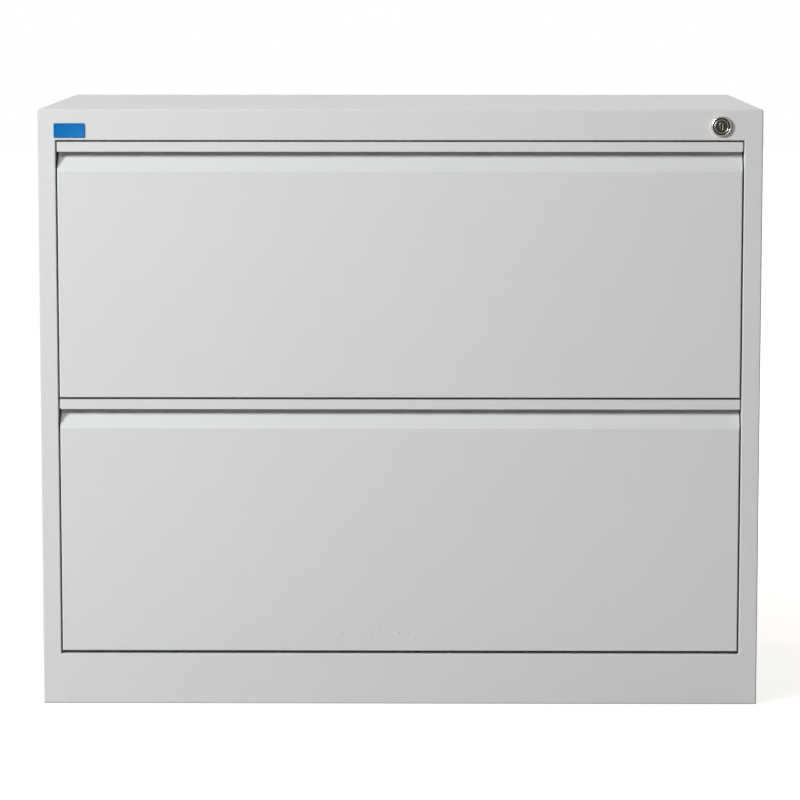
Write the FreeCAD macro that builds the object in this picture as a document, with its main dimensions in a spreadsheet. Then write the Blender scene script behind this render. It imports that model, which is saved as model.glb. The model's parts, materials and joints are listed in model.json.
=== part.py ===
import FreeCAD, Part
import math
import os
import re
import Sketcher
from FreeCAD import Vector

# Two-drawer lateral filing cabinet in folded and powder-coated sheet steel.
# The origin is on the floor under the middle of the cabinet, the front looks along -Y.

# Driving dimensions in millimetres
sizes = {
    # whole cabinet
    "width": 900,
    "depth": 450,
    "height": 750,
    "gauge": 0.9,
    "bend": 1.8,
    "corner": 3.5,
    "soft_edge": 1.2,
    # front frame: stiles, apron above the drawers and plinth below them
    "stile": 23,
    "apron": 38.5,
    "plinth": 64,
    "frame_rim": 8,
    "frame_return": 20,
    "frame_hem": 8,
    # wrapper panels
    "skirt": 20,
    "rear_flange": 25,
    "floor_flange": 15,
    "lap": 16,
    "lap_gap": 3,
    "back_overlap": 15,
    "back_rib_width": 24,
    "back_rib_depth": 5,
    "back_rib_pitch": 210,
    "base_level": 60.9,
    # slide uprights and the rail between the drawers
    "hard_gauge": 1.2,
    "upright_web": 30,
    "upright_brim": 10,
    "upright_top": 690,
    "front_upright": -165,
    "rear_upright": 165,
    "slot_width": 4,
    "slot_tall": 14,
    "slot_pitch": 48,
    "slot_count": 13,
    "slot_first": 24,
    "rail_front": -193,
    "rail_deep": 20,
    "rail_tall": 22,
    "bumper_radius": 3.5,
    "bumper_gap": 0.3,
    "bumper_across": 300,
    "bumper_rise": 6.5,
    # ballast
    "ballast_width": 660,
    "ballast_depth": 120,
    "ballast_thick": 14,
    "ballast_rear": 210,
    # levelling feet and their channels
    "foot_across": 417,
    "foot_along": 175,
    "pad_radius": 15,
    "pad_thick": 5,
    "pad_lift": 0.4,
    "screw_radius": 5,
    "screw_top": 56,
    "screw_slot": 1.6,
    "screw_slot_deep": 3,
    "screw_play": 0.08,
    "access_radius": 8,
    "channel_level": 20,
    "channel_gauge": 2,
    "channel_inner": 385,
    "channel_lip": 20,
    # drawer fronts
    "opening_gap": 2,
    "plinth_gap": 4,
    "middle_gap": 2.5,
    "front_tall": 319.5,
    "front_deep": 20,
    "lip": 12,
    "lip_fold": 2.1,
    "lip_hem": 8,
    "grip_mouth": 24.5,
    "grip_deep": 14,
    "bevel_rise": 24.2,
    # drawer trays
    "slide_gap": 12.7,
    "tray_deep": 400,
    "tray_level": 14,
    "wall_tall": 250,
    "wall_flange": 20,
    "wall_hem": 10,
    "tray_bead_width": 30,
    "tray_bead_deep": 3,
    "tray_bead_pitch": 206,
    "file_spacing": 330,
    "file_bar_front": -190,
    "file_bar_gauge": 2,
    "file_bar_tall": 15,
    "file_bar_tab": 20,
    # telescopic slides, measured from the upright towards the drawer and from their middle height
    "slide_level": 62,
    "slide_long": 400,
    "slide_front": -203,
    "outer_half": 22.5,
    "outer_reach": 10.5,
    "outer_lip": 3,
    "middle_half": 16.6,
    "middle_web": 2,
    "middle_reach": 11,
    "middle_short": 10,
    "inner_half": 10.7,
    "inner_reach": 4.5,
    "ball_play": 0.3,
    "ball_wide": 5,
    "outer_balls_near": 3.6,
    "inner_balls_near": 5,
    "balls_long": 160,
    # lock
    "lock_across": 397.8,
    "lock_level": 729,
    "bezel_radius": 13,
    "bezel_groove_out": 10.5,
    "bezel_groove_in": 9.6,
    "bezel_groove_deep": 1.6,
    "bezel_proud": 4,
    "bezel_round": 1.2,
    "barrel_radius": 9.6,
    "barrel_rear": -207,
    "barrel_hole_play": 0.1,
    "nut_radius": 14,
    "nut_thick": 3,
    "plug_radius": 7.7,
    "plug_play": 0.05,
    "plug_sunk": 0.6,
    "plug_rear": -203,
    "key_wide": 1.6,
    "key_tall": 9,
    "key_deep": 9,
    "journal_radius": 4,
    "journal_rear": -200.6,
    "cam_thick": 2,
    "cam_hub": 8,
    "cam_throw": 9,
    "cam_tip": 4.5,
    "cam_pin": 2.5,
    "cam_pin_rear": -195.5,
    # lock bar, its guides and the catches on the drawers
    "bar_front": -199,
    "bar_thick": 2,
    "bar_near": 431,
    "bar_wide": 14,
    "bar_arm_half": 6.5,
    "bar_arm_end": 396,
    "bar_slot_play": 0.5,
    "bar_slot_travel": 2.64,
    "bar_foot": 2,
    "tab_near": 416,
    "tab_tall": 10,
    "tab_clear": 2,
    "guide_play": 0.4,
    "guide_wall": 1.3,
    "guide_tall": 14,
    "guide_high": 660,
    "guide_low": 440,
    "catch_level": 296,
    "catch_tall": 12,
    "catch_gauge": 1.5,
    "catch_base": 385,
    "catch_leg": 412.3,
    "catch_tip": 424,
    "catch_rear": -194,
}

doc = FreeCAD.newDocument("LateralFilingCabinet")
sheet = doc.addObject("Spreadsheet::Sheet", "Size")
for row, (name, value) in enumerate(sizes.items(), start=1):
    sheet.set(f"A{row}", name)
    sheet.set(f"B{row}", str(value))
    sheet.setAlias(f"B{row}", name)
doc.recompute()

# Shared places, written with the names of the sheet
front = "(-depth/2)"
back = "(depth/2)"
side = "(width/2)"
side_inside = "(width/2 - gauge)"
rim_back = "(-depth/2 + frame_rim)"
frame_back = "(-depth/2 + frame_return)"
opening_side = "(width/2 - stile)"
opening_top = "(height - apron)"
back_panel_face = "(depth/2 - 2*gauge)"
base_back = "(depth/2 - 2*gauge - back_rib_depth)"
front_side = "(width/2 - stile - opening_gap)"
front_back = "(-depth/2 + front_deep)"
tray_side = "(width/2 - stile - slide_gap)"
tray_back = "(-depth/2 + front_deep + tray_deep)"
tray_top = "(tray_level + wall_tall)"
lower_front = "(plinth + plinth_gap)"
upper_front = "(plinth + plinth_gap + front_tall + middle_gap)"
barrel_hole = "(barrel_radius + barrel_hole_play)"
cam_offset = "(cam_throw*cos(45))"
drawers = {"lower": lower_front, "upper": upper_front}
hands = {"left": -1, "right": 1}

# How close two places must be to count as one, and the shortest edge that counts as a run
same_place = 0.01
shortest_run = 1

sub_parts = []


# Text with the sheet's names as an expression of the document
def formula(text):
    return re.sub(r"[a-z]\w*", lambda word: sheet_name(word.group(0)), text)


def sheet_name(word):
    return "Size." + word if word in sizes else word


def number(text):
    return float(sheet.evalExpression(formula(text)))


# A new sub-part, and where its own origin stands in the cabinet
def new_body(label, x="0", y="0", z="0"):
    body = doc.addObject("PartDesign::Body", label)
    body.Label = label
    for axis, text in zip("xyz", (x, y, z)):
        body.setExpression(f"Placement.Base.{axis}", formula(text))
    sub_parts.append(body)
    return body


def flat_sketch(body, plane, level):
    sketch = body.newObject("Sketcher::SketchObject", "Sketch")
    origin_plane = next(item for item in body.Origin.OriginFeatures if item.Role == plane + "_Plane")
    sketch.AttachmentSupport = [(origin_plane, "")]
    sketch.MapMode = "FlatFace"
    sign = "-" if plane == "XZ" else ""
    sketch.setExpression("AttachmentOffset.Base.z", formula(f"{sign}({level})"))
    return sketch


def bind(sketch, kind, geometry, point, text):
    place = sketch.addConstraint(Sketcher.Constraint(kind, -1, 1, geometry, point, number(text)))
    sketch.setExpression(f"Constraints[{place}]", formula(text))


# Closed outlines of straight edges, each corner bound to the sheet
def outline(body, plane, loops, level):
    sketch = flat_sketch(body, plane, level)
    for corners in loops:
        spots = [Vector(number(u), number(v), 0) for u, v in corners]
        first = sketch.GeometryCount
        count = len(spots)
        for index in range(count):
            sketch.addGeometry(Part.LineSegment(spots[index], spots[(index + 1) % count]), False)
        for index in range(count):
            after = first + (index + 1) % count
            sketch.addConstraint(Sketcher.Constraint("Coincident", first + index, 2, after, 1))
        for index, (u, v) in enumerate(corners):
            bind(sketch, "DistanceX", first + index, 1, u)
            bind(sketch, "DistanceY", first + index, 1, v)
    return sketch


# Circles, each a centre and a radius bound to the sheet
def circles(body, plane, rounds, level):
    sketch = flat_sketch(body, plane, level)
    for u, v, radius in rounds:
        centre = Vector(number(u), number(v), 0)
        place = sketch.addGeometry(Part.Circle(centre, Vector(0, 0, 1), number(radius)), False)
        bind(sketch, "DistanceX", place, 3, u)
        bind(sketch, "DistanceY", place, 3, v)
        size = sketch.addConstraint(Sketcher.Constraint("Radius", place, number(radius)))
        sketch.setExpression(f"Constraints[{size}]", formula(radius))
    return sketch


# A slot with round ends between two centres on one level
def round_slot(body, plane, near, far, level_text, radius, level):
    sketch = flat_sketch(body, plane, level)
    a, b, v, r = number(near), number(far), number(level_text), number(radius)
    upright = Vector(0, 0, 1)
    quarter = math.pi / 2
    left_arc = Part.ArcOfCircle(Part.Circle(Vector(a, v, 0), upright, r), quarter, 3 * quarter)
    right_arc = Part.ArcOfCircle(Part.Circle(Vector(b, v, 0), upright, r), -quarter, quarter)
    low_line = Part.LineSegment(Vector(a, v - r, 0), Vector(b, v - r, 0))
    high_line = Part.LineSegment(Vector(b, v + r, 0), Vector(a, v + r, 0))
    sketch.addGeometry([left_arc, low_line, right_arc, high_line], False)
    for index in range(4):
        sketch.addConstraint(Sketcher.Constraint("Tangent", index, 2, (index + 1) % 4, 1))
    bind(sketch, "DistanceX", 0, 3, near)
    bind(sketch, "DistanceY", 0, 3, level_text)
    bind(sketch, "DistanceX", 2, 3, far)
    bind(sketch, "DistanceY", 2, 3, level_text)
    size = sketch.addConstraint(Sketcher.Constraint("Radius", 0, r))
    sketch.setExpression(f"Constraints[{size}]", formula(radius))
    return sketch


# Adds the sketch's outline as material, from its plane towards the positive axis
def pad(body, sketch, length, both_ways=False):
    feature = body.newObject("PartDesign::Pad", "Pad")
    feature.Profile = sketch
    feature.setExpression("Length", formula(length))
    feature.Midplane = both_ways
    feature.Reversed = "XZ" in attached_plane(sketch)
    doc.recompute()
    return feature


# Takes the sketch's outline away, from its plane towards the positive axis
def pocket(body, sketch, length):
    before = body.Shape.Volume
    feature = body.newObject("PartDesign::Pocket", "Pocket")
    feature.Profile = sketch
    feature.setExpression("Length", formula(length))
    feature.Reversed = "XZ" not in attached_plane(sketch)
    doc.recompute()
    if body.Shape.Volume >= before:
        raise RuntimeError(f"nothing was cut from {body.Label}")
    return feature


def attached_plane(sketch):
    return sketch.AttachmentSupport[0][0].Role


def turned(body, sketch, axis):
    feature = body.newObject("PartDesign::Revolution", "Revolution")
    feature.Profile = sketch
    feature.ReferenceAxis = (sketch, [axis])
    feature.Angle = 360
    doc.recompute()
    return feature


def round_edges(body, chosen, radius):
    base = body.Tip
    names = [f"Edge{place}" for place, edge in enumerate(base.Shape.Edges, start=1) if chosen(edge)]
    if not names:
        raise RuntimeError(f"no edge to round on {body.Label}")
    feature = body.newObject("PartDesign::Fillet", "Fillet")
    feature.Base = (base, names)
    feature.setExpression("Radius", formula(radius))
    doc.recompute()
    return feature


def shell(body, open_faces):
    base = body.Tip
    names = [f"Face{place}" for place, face in enumerate(base.Shape.Faces, start=1) if open_faces(face)]
    feature = body.newObject("PartDesign::Thickness", "Thickness")
    feature.Base = (base, names)
    feature.setExpression("Value", formula("gauge"))
    feature.Reversed = True
    doc.recompute()
    return feature


# True for an edge whose every point has one coordinate near the value
def lies_at(edge, axis, value):
    box = edge.BoundBox
    low = getattr(box, axis + "Min")
    high = getattr(box, axis + "Max")
    return abs(low - value) < same_place and abs(high - value) < same_place


def runs_along(edge, axis):
    box = edge.BoundBox
    spans = {"X": box.XLength, "Y": box.YLength, "Z": box.ZLength}
    return spans.pop(axis) > shortest_run and max(spans.values()) < same_place


# The far face of a bent sheet whose near face follows the path; the left of the path is side +1
def far_face(path, turn, thick):
    spots = [Vector(number(u), number(v), 0) for u, v in path]
    ways = [(end - start).normalize() for start, end in zip(spots, spots[1:])]
    normals = [Vector(-way.y, way.x, 0) * turn for way in ways]
    shifted = []
    for index, (u, v) in enumerate(path):
        before = normals[max(index - 1, 0)]
        after = normals[min(index, len(normals) - 1)]
        step = (before + after) * (1 / (1 + before.dot(after)))
        shifted.append((f"{u} + {thick}*({step.x:.6f})", f"{v} + {thick}*({step.y:.6f})"))
    return shifted


# A bent sheet: its section follows the path and is padded along the plane's axis
def bent_sheet(body, plane, path, turn, start, length, thick="gauge", radius=None, both_ways=False):
    far = far_face(path, turn, thick)
    sketch = outline(body, plane, [path + far[::-1]], start)
    pad(body, sketch, length, both_ways)
    if radius:
        outer, inner = bend_corners(path, far, turn)
        axes = {"XY": "XYZ", "XZ": "XZY", "YZ": "YZX"}[plane]
        round_edges(body, lambda edge: at_corner(edge, axes, outer), radius)
        round_edges(body, lambda edge: at_corner(edge, axes, inner), f"{radius} - {thick}")


# Which corners of the section lie outside a bend, and which inside
def bend_corners(path, far, turn):
    near_spots = [Vector(number(u), number(v), 0) for u, v in path]
    far_spots = [Vector(number(u), number(v), 0) for u, v in far]
    outer = []
    inner = []
    for index in range(1, len(path) - 1):
        before = near_spots[index] - near_spots[index - 1]
        after = near_spots[index + 1] - near_spots[index]
        to_far_side = before.cross(after).z * turn > 0
        outer.append(near_spots[index] if to_far_side else far_spots[index])
        inner.append(far_spots[index] if to_far_side else near_spots[index])
    return outer, inner


def at_corner(edge, axes, spots):
    if not runs_along(edge, axes[2]):
        return False
    return any(lies_at(edge, axes[0], spot.x) and lies_at(edge, axes[1], spot.y) for spot in spots)


def rectangle(low_u, high_u, low_v, high_v):
    return [(low_u, low_v), (high_u, low_v), (high_u, high_v), (low_u, high_v)]


def across(hand, text):
    return f"{hand}*({text})"


# Front frame: one welded and ground sheet round the drawer opening
def make_front_frame():
    body = new_body("front_frame")
    pad(body, outline(body, "XZ", [rectangle(f"-{side}", side, "0", "height")], front), "frame_rim")
    top = number("height")
    round_edges(body, lambda edge: runs_along(edge, "Y") and lies_at(edge, "Z", top), "corner")
    front_plane = number(front)
    round_edges(body, lambda edge: lies_at(edge, "Y", front_plane), "bend")
    rim_plane = number(rim_back)
    shell(body, lambda face: lies_at(face, "Y", rim_plane))
    opening = rectangle(f"-{opening_side}", opening_side, "plinth", opening_top)
    pocket(body, outline(body, "XZ", [opening], front), "frame_rim")
    returns = grown(opening, "gauge")
    pad(body, outline(body, "XZ", [returns, opening], front), "frame_return")
    hem = grown(opening, "frame_hem")
    pad(body, outline(body, "XZ", [hem, opening], f"{frame_back} - gauge"), "gauge")
    round_edges(body, lambda edge: lies_at(edge, "Y", front_plane) and borders_opening(edge), "soft_edge")
    pocket(body, circles(body, "XZ", [("lock_across", "lock_level", barrel_hole)], front), "frame_rim")


# True for an edge inside the frame's opening or on its border
def borders_opening(edge):
    box = edge.BoundBox
    widest = number(opening_side) + same_place
    inside_width = -widest < box.XMin and box.XMax < widest
    above_plinth = box.ZMin > number("plinth") - same_place
    return inside_width and above_plinth and box.ZMax < number(opening_top) + same_place


# The same rectangle with every side moved outwards
def grown(corners, amount):
    (low_u, low_v), (high_u, high_v) = corners[0], corners[2]
    return rectangle(
        f"{low_u} - {amount}", f"{high_u} + {amount}", f"{low_v} - {amount}", f"{high_v} + {amount}"
    )


# Top: a shallow tray turned over, its long corners rounded
def make_top_panel():
    body = new_body("top_panel")
    form = rectangle(f"-{side}", side, rim_back, back)
    pad(body, outline(body, "XY", [form], "height - skirt"), "skirt")
    top, rear = number("height"), number(back)
    round_edges(body, lambda edge: runs_along(edge, "Y") and lies_at(edge, "Z", top), "corner")
    low, near = number("height - skirt"), number(rim_back)
    round_edges(body, lambda edge: lies_at(edge, "Y", rear) and not lies_at(edge, "Z", low), "bend")
    shell(body, lambda face: lies_at(face, "Z", low) or lies_at(face, "Y", near))


# Side: outer wall with its rear and floor flanges, and lap strips behind its neighbours
def make_side_panel(name, hand):
    body = new_body(f"{name}_side_panel")
    path = [
        (across(hand, side), rim_back),
        (across(hand, side), back),
        (across(hand, f"{side} - rear_flange"), back),
    ]
    bent_sheet(body, "XY", path, hand, "0", "height - skirt", radius="bend")
    floor_flange = rectangle(
        across(hand, f"{side} - floor_flange"), across(hand, side_inside), rim_back, f"{back} - gauge"
    )
    pad(body, outline(body, "XY", [floor_flange], "0"), "gauge")
    lap_face = across(hand, f"{side_inside} - gauge")
    lap_start = f"{front} + lap_gap"
    front_lap = rectangle(lap_face, across(hand, side_inside), lap_start, f"{lap_start} + lap")
    pad(body, outline(body, "XY", [front_lap], "frame_rim"), "height - 2*frame_rim")
    top_lap = rectangle(lap_face, across(hand, side_inside), "-depth/2 + 2*skirt", "depth/2 - 2*skirt")
    pad(body, outline(body, "XY", [top_lap], "height - skirt - lap"), "2*lap")


# Back: a sheet behind the rear flanges' lips, stiffened by pressed ribs
def make_back_panel():
    body = new_body("back_panel")
    edge = f"({side} - rear_flange + back_overlap)"
    path = [(f"-{edge}", back_panel_face)]
    for place in (-1, 0, 1):
        near = f"{place}*back_rib_pitch - back_rib_width/2"
        far = f"{place}*back_rib_pitch + back_rib_width/2"
        deep = f"{back_panel_face} - back_rib_depth"
        path.append((near, back_panel_face))
        path.append((f"{near} + back_rib_depth", deep))
        path.append((f"{far} - back_rib_depth", deep))
        path.append((far, back_panel_face))
    path.append((edge, back_panel_face))
    bent_sheet(body, "XY", path, 1, "frame_rim", "height - 2*frame_rim")


# Base pan: a turned-over tray that closes the case above the feet
def make_base_pan():
    body = new_body("base_pan")
    form = rectangle(f"-{side_inside}", side_inside, frame_back, base_back)
    pad(body, outline(body, "XY", [form], "base_level - skirt"), "skirt")
    low = number("base_level - skirt")
    shell(body, lambda face: lies_at(face, "Z", low))
    holes = [(f"{x}*foot_across", f"{y}*foot_along", "access_radius") for x in (-1, 1) for y in (-1, 1)]
    pocket(body, circles(body, "XY", holes, "base_level - skirt"), "skirt")


# Channel under the base pan that holds two feet
def make_foot_channel(name, hand):
    body = new_body(f"foot_channel_{name}")
    path = [
        (across(hand, side_inside), "channel_level + channel_lip"),
        (across(hand, side_inside), "channel_level"),
        (across(hand, "channel_inner"), "channel_level"),
        (across(hand, "channel_inner"), "base_level - gauge"),
    ]
    length = f"{base_back} - {frame_back} - 2*gauge"
    bent_sheet(body, "XZ", path, -hand, f"{frame_back} + gauge", length, "channel_gauge")
    thread = "screw_radius + screw_play"
    holes = [(across(hand, "foot_across"), f"{y}*foot_along", thread) for y in (-1, 1)]
    pocket(body, circles(body, "XY", holes, "channel_level"), "channel_gauge")


# Levelling foot: a round pad on a slotted screw
def make_levelling_foot(name, x, y):
    body = new_body(f"levelling_foot_{name}", x=f"{x}*foot_across", y=f"{y}*foot_along")
    section = [
        ("0", "pad_lift"),
        ("pad_radius", "pad_lift"),
        ("pad_radius", "pad_lift + pad_thick"),
        ("screw_radius", "pad_lift + pad_thick"),
        ("screw_radius", "screw_top"),
        ("0", "screw_top"),
    ]
    turned(body, outline(body, "XZ", [section], "0"), "V_Axis")
    slot = rectangle("-screw_radius", "screw_radius", "-screw_slot/2", "screw_slot/2")
    pocket(body, outline(body, "XY", [slot], "screw_top - screw_slot_deep"), "screw_slot_deep")


# Upright: a slotted hat section that carries the slides
def make_upright(name, hand, level):
    body = new_body(f"upright_{name}", x=across(hand, opening_side), y=level, z="base_level")
    reach = across(hand, "stile - gauge")
    web = across(hand, "hard_gauge")
    path = [
        (reach, "-upright_web/2 - upright_brim"),
        (reach, "-upright_web/2"),
        (web, "-upright_web/2"),
        (web, "upright_web/2"),
        (reach, "upright_web/2"),
        (reach, "upright_web/2 + upright_brim"),
    ]
    bent_sheet(body, "XY", path, hand, "0", "upright_top - base_level", "hard_gauge")
    slot = rectangle("-slot_width/2", "slot_width/2", "slot_first", "slot_first + slot_tall")
    start = "0" if hand > 0 else "-hard_gauge"
    cut = pocket(body, outline(body, "YZ", [slot], start), "hard_gauge")
    row = body.newObject("PartDesign::LinearPattern", "SlotRow")
    row.Originals = [cut]
    row.Direction = (cut.Profile[0], ["V_Axis"])
    row.setExpression("Length", formula("slot_pitch*(slot_count - 1)"))
    row.setExpression("Occurrences", formula("slot_count"))
    body.Tip = row
    doc.recompute()


# Rail behind the gap between the drawers
def make_cross_rail():
    body = new_body("cross_rail", z=upper_front)
    path = [
        ("rail_front + rail_deep", "-rail_tall/2"),
        ("rail_front", "-rail_tall/2"),
        ("rail_front", "rail_tall/2"),
        ("rail_front + rail_deep", "rail_tall/2"),
    ]
    bent_sheet(body, "YZ", path, -1, "0", f"2*{opening_side}", "hard_gauge", both_ways=True)


# Rubber buffers on the rail, two for each drawer front
def make_bumpers():
    body = new_body("drawer_bumpers", z=f"{upper_front} - middle_gap/2")
    rounds = []
    for x in (-1, 1):
        for z in (-1, 1):
            rounds.append((f"{x}*bumper_across", f"{z}*bumper_rise", "bumper_radius"))
    start = f"({front_back} + bumper_gap)"
    pad(body, circles(body, "XZ", rounds, start), f"rail_front - {start}")


# Ballast plate at the rear of the base pan
def make_ballast():
    body = new_body("ballast_plate", z="base_level")
    form = rectangle("-ballast_width/2", "ballast_width/2", "ballast_rear - ballast_depth", "ballast_rear")
    pad(body, outline(body, "XY", [form], "0"), "ballast_thick")


# Outer slide member, a channel with turned-in lips
def make_outer_slide(name, hand, level):
    body = new_body(f"slide_outer_{name}", x=across(hand, opening_side), z=f"{level} + slide_level")
    path = [
        (across(-hand, "outer_reach"), "-outer_half + outer_lip"),
        (across(-hand, "outer_reach"), "-outer_half"),
        ("0", "-outer_half"),
        ("0", "outer_half"),
        (across(-hand, "outer_reach"), "outer_half"),
        (across(-hand, "outer_reach"), "outer_half - outer_lip"),
    ]
    bent_sheet(body, "XZ", path, hand, "slide_front", "slide_long", "hard_gauge")


# Middle slide member with the ball strips above and below its flanges
def make_middle_slide(name, hand, level):
    body = new_body(f"slide_middle_{name}", x=across(hand, opening_side), z=f"{level} + slide_level")
    path = [
        (across(-hand, "middle_reach"), "-middle_half"),
        (across(-hand, "middle_web"), "-middle_half"),
        (across(-hand, "middle_web"), "middle_half"),
        (across(-hand, "middle_reach"), "middle_half"),
    ]
    start = "slide_front + middle_short"
    bent_sheet(body, "XZ", path, hand, start, "slide_long - 2*middle_short", "hard_gauge")
    rear_start = "slide_front + slide_long - middle_short - balls_long"
    outer_limit = "outer_half - hard_gauge - ball_play"
    inner_limit = "inner_half + ball_play"
    for sign in (-1, 1):
        outer_balls = rectangle(
            across(-hand, "outer_balls_near"),
            across(-hand, "outer_balls_near + ball_wide"),
            across(sign, "middle_half"),
            across(sign, outer_limit),
        )
        pad(body, outline(body, "XZ", [outer_balls], rear_start), "balls_long")
        inner_balls = rectangle(
            across(-hand, "inner_balls_near"),
            across(-hand, "inner_balls_near + ball_wide"),
            across(sign, inner_limit),
            across(sign, "middle_half - hard_gauge"),
        )
        pad(body, outline(body, "XZ", [inner_balls], start), "balls_long")


# Inner slide member, fixed to the drawer wall
def make_inner_slide(name, hand, level):
    body = new_body(f"slide_inner_{name}", x=across(hand, opening_side), z=f"{level} + slide_level")
    path = [
        (across(-hand, "inner_reach"), "-inner_half"),
        (across(-hand, "slide_gap"), "-inner_half"),
        (across(-hand, "slide_gap"), "inner_half"),
        (across(-hand, "inner_reach"), "inner_half"),
    ]
    bent_sheet(body, "XZ", path, -hand, "slide_front", "slide_long", "hard_gauge")


# Drawer front: one sheet folded into lip, finger grip, bevel and face, with plates at its ends
def make_drawer_skin(name, level):
    body = new_body(f"{name}_drawer_skin", z=level)
    lip_low = "front_tall - lip"
    fold = "(front_tall - lip - grip_mouth)"
    path = [
        (f"{front} + lip_fold", f"{lip_low} + lip_hem"),
        (f"{front} + lip_fold", f"{lip_low} + gauge"),
        (f"{front} + gauge", f"{lip_low} + gauge"),
        (f"{front} + gauge", "front_tall - gauge"),
        (f"{front} + grip_deep", "front_tall - gauge"),
        (f"{front} + grip_deep", f"{fold} + bevel_rise"),
        (front, fold),
        (front, "0"),
        (front_back, "0"),
    ]
    bent_sheet(body, "YZ", path, 1, "0", f"2*{front_side}", both_ways=True)
    end_plate = [
        (front, "0"),
        (front_back, "0"),
        (front_back, "front_tall"),
        (f"{front} + grip_deep", "front_tall"),
        (f"{front} + grip_deep", f"{fold} + bevel_rise"),
        (front, fold),
    ]
    for start in (f"-{front_side}", f"{front_side} - gauge"):
        pad(body, outline(body, "YZ", [end_plate], start), "gauge")
    face, mouth_top = number(front), number("front_tall - lip")
    round_edges(body, lambda edge: lies_at(edge, "Y", face) and edge.BoundBox.ZMax < mouth_top, "soft_edge")


# Liner: the sheet that closes the back of the drawer front
def make_drawer_liner(name, level):
    body = new_body(f"{name}_drawer_liner", z=level)
    path = [
        (f"{front} + grip_deep + gauge", "front_tall"),
        (front_back, "front_tall"),
        (front_back, "gauge"),
    ]
    bent_sheet(body, "YZ", path, -1, "0", f"2*({front_side} - gauge)", both_ways=True)


# Tray floor with pressed beads that run front to back
def make_tray_floor(name, level):
    body = new_body(f"{name}_tray_floor", z=level)
    edge = f"({tray_side} - gauge)"
    path = [(f"-{edge}", "tray_level")]
    for place in (-1.5, -0.5, 0.5, 1.5):
        near = f"{place}*tray_bead_pitch - tray_bead_width/2"
        far = f"{place}*tray_bead_pitch + tray_bead_width/2"
        low = "tray_level - tray_bead_deep"
        path.append((near, "tray_level"))
        path.append((f"{near} + tray_bead_deep", low))
        path.append((f"{far} - tray_bead_deep", low))
        path.append((far, "tray_level"))
    path.append((edge, "tray_level"))
    bent_sheet(body, "XZ", path, 1, front_back, "tray_deep")


# Tray wall: an upright sheet with flanges at its foot, top and front
def make_tray_wall(drawer, name, hand, level):
    body = new_body(f"{drawer}_tray_wall_{name}", z=level)
    foot = "tray_level - gauge"
    path = [
        (across(hand, f"{tray_side} - wall_hem"), tray_top),
        (across(hand, tray_side), tray_top),
        (across(hand, tray_side), foot),
        (across(hand, f"{tray_side} - wall_flange"), foot),
    ]
    bent_sheet(body, "XZ", path, -hand, front_back, "tray_deep")
    front_flange = rectangle(
        across(hand, f"{tray_side} - wall_flange"),
        across(hand, f"{tray_side} - gauge"),
        "tray_level + gauge",
        f"{tray_top} - wall_hem - file_bar_tall",
    )
    pad(body, outline(body, "XZ", [front_flange], front_back), "gauge")


def make_tray_back(name, level):
    body = new_body(f"{name}_tray_back", z=level)
    foot = "tray_level + gauge"
    top = f"{tray_top} - gauge"
    path = [
        (f"{tray_back} - wall_flange", foot),
        (tray_back, foot),
        (tray_back, top),
        (f"{tray_back} - wall_hem", top),
    ]
    bent_sheet(body, "YZ", path, 1, "0", f"2*({tray_side} - gauge)", both_ways=True)


# Bar that hanging files hook over, its ends bent along the tray walls
def make_file_bar(drawer, name, along, tab_way, level):
    body = new_body(f"{drawer}_file_bar_{name}", z=level)
    end = f"({tray_side} - gauge)"
    path = [
        (f"-{end}", f"{along} + {tab_way}*file_bar_tab"),
        (f"-{end}", along),
        (end, along),
        (end, f"{along} + {tab_way}*file_bar_tab"),
    ]
    start = f"{tray_top} - gauge - file_bar_tall"
    bent_sheet(body, "XY", path, tab_way, start, "file_bar_tall", "file_bar_gauge")


# Catch behind the drawer front that the lock bar's tab drops in front of
def make_lock_catch(name, level):
    body = new_body(f"{name}_lock_catch", z=f"{level} + catch_level")
    path = [
        ("catch_base", front_back),
        ("catch_leg", front_back),
        ("catch_leg", "catch_rear"),
        ("catch_tip", "catch_rear"),
    ]
    bent_sheet(body, "XY", path, 1, "0", "catch_tall", "catch_gauge")


# Lock housing: a stepped ring outside the apron and a barrel through it
def make_lock_housing():
    body = new_body("lock_housing", x="lock_across", z="lock_level")
    face = f"({front} - bezel_proud)"
    bore = "plug_radius + plug_play"
    section = [
        (face, bore),
        (face, "bezel_groove_in"),
        (f"{face} + bezel_groove_deep", "bezel_groove_in"),
        (f"{face} + bezel_groove_deep", "bezel_groove_out"),
        (face, "bezel_groove_out"),
        (face, "bezel_radius - bezel_round"),
        (f"{face} + bezel_round", "bezel_radius"),
        (front, "bezel_radius"),
        (front, "barrel_radius"),
        ("barrel_rear", "barrel_radius"),
        ("barrel_rear", bore),
    ]
    turned(body, outline(body, "YZ", [section], "0"), "H_Axis")


# Six-sided nut that clamps the housing to the apron
def make_lock_nut():
    body = new_body("lock_nut", x="lock_across", z="lock_level")
    corners = [(f"nut_radius*cos({turn})", f"nut_radius*sin({turn})") for turn in range(0, 360, 60)]
    start = f"{front} + gauge"
    pad(body, outline(body, "XZ", [corners], start), "nut_thick")
    pocket(body, circles(body, "XZ", [("0", "0", "barrel_radius + plug_play")], start), "nut_thick")


# Lock plug with its keyway and the journal for the cam
def make_lock_plug():
    body = new_body("lock_plug", x="lock_across", z="lock_level")
    face = f"({front} - bezel_proud + plug_sunk)"
    section = [
        (face, "0"),
        (face, "plug_radius"),
        ("plug_rear", "plug_radius"),
        ("plug_rear", "journal_radius"),
        ("journal_rear", "journal_radius"),
        ("journal_rear", "0"),
    ]
    turned(body, outline(body, "YZ", [section], "0"), "H_Axis")
    keyway = rectangle("-key_wide/2", "key_wide/2", "-key_tall/2", "key_tall/2")
    pocket(body, outline(body, "XZ", [keyway], face), "key_deep")


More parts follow.
